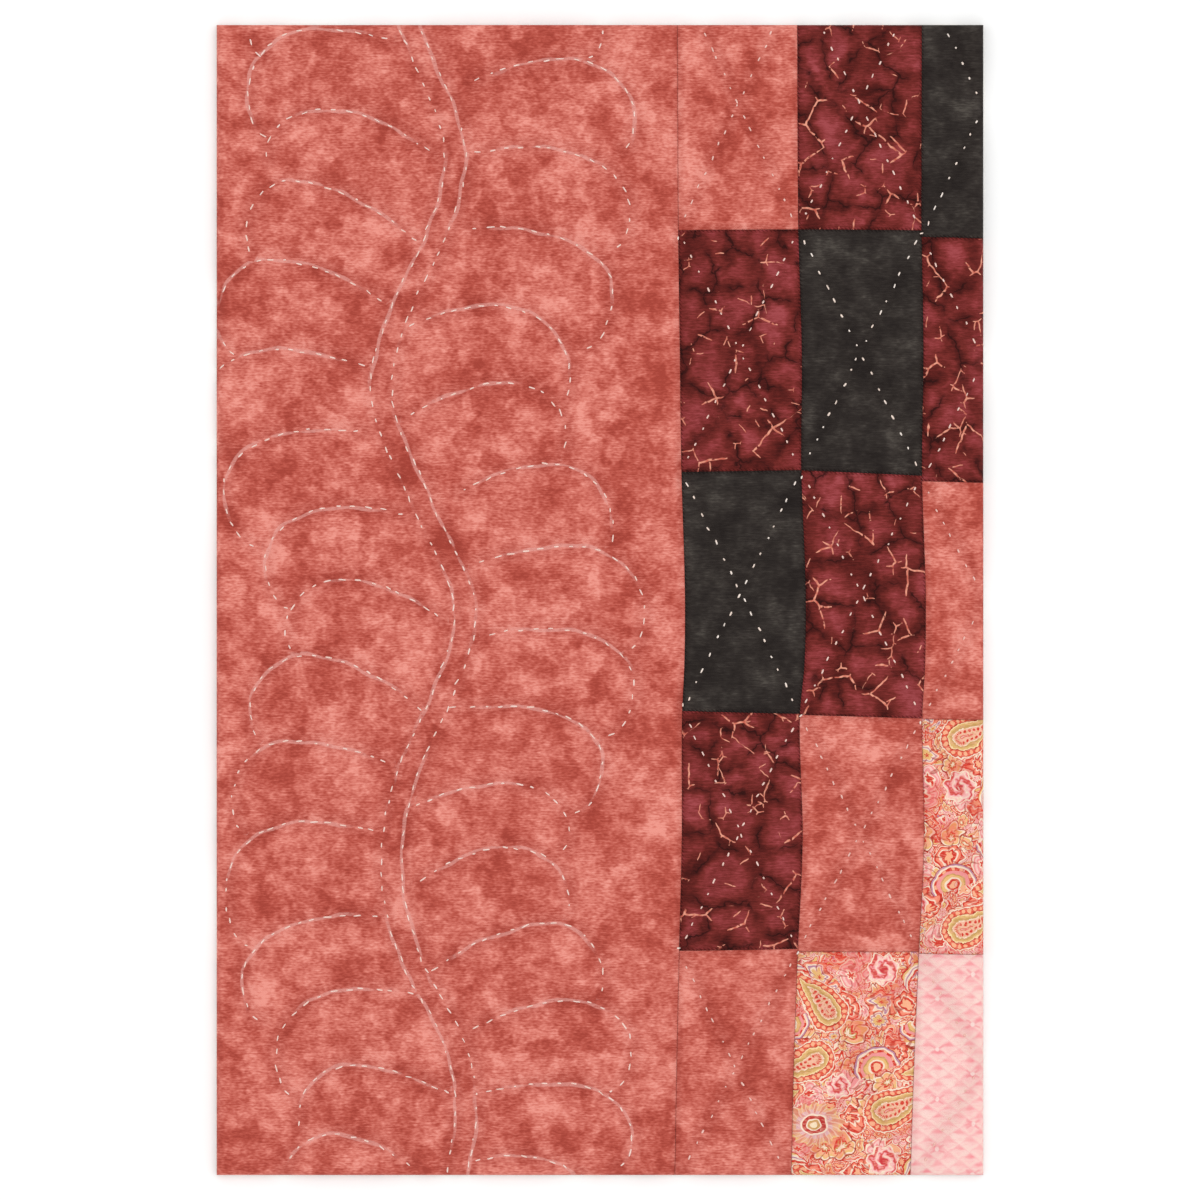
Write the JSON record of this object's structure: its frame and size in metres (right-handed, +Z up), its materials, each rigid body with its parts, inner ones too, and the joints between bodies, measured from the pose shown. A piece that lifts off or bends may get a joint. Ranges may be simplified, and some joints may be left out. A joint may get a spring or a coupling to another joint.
{
  "type": "sunshine and shadow quilt, cut length of border and patchwork",
  "caption": "Flat length of a hand-quilted patchwork quilt: a wide coral border with a stitched feathered vine, beside oblong cotton patches, each crossed with stitches.",
  "frame": {"origin": "middle of the flat underside", "axes": "+X across the quilt from the border towards the patchwork, +Y along the border, +Z up out of the pieced face"},
  "size_m": [0.24, 0.36, 0.0047],
  "materials": {
    "marbled_coral_cotton": "matte plain-woven cotton, printed with soft cloudy marbling in coral and pale salmon",
    "burgundy_crackle_cotton": "matte cotton, dyed burgundy with rose cells, dark veins and thin salmon crackle lines",
    "black_cotton": "matte cotton, soft black with faint smoky mottling",
    "paisley_cotton": "matte cotton, closely printed with peach, red, olive and violet paisley",
    "pink_scallop_cotton": "matte cotton, pale pink with rows of small shaded fans",
    "plain_backing_cotton": "plain unbleached cotton on the underside, matte",
    "quilting_thread": "waxed cotton thread, off-white, slightly glossy"
  },
  "bodies": {
    "root": {"border": "marbled_coral_cotton", "patch_r1_c1": "marbled_coral_cotton", "patch_r1_c2": "burgundy_crackle_cotton", "patch_r1_c3": "black_cotton", "patch_r2_c1": "burgundy_crackle_cotton", "patch_r2_c2": "black_cotton", "patch_r2_c3": "burgundy_crackle_cotton", "patch_r3_c1": "black_cotton", "patch_r3_c2": "burgundy_crackle_cotton", "patch_r3_c3": "marbled_coral_cotton", "patch_r4_c1": "burgundy_crackle_cotton", "patch_r4_c2": "marbled_coral_cotton", "patch_r4_c3": "paisley_cotton", "patch_r5_c1": "marbled_coral_cotton", "patch_r5_c2": "paisley_cotton", "patch_r5_c3": "pink_scallop_cotton"}
  },
  "joints": []
}
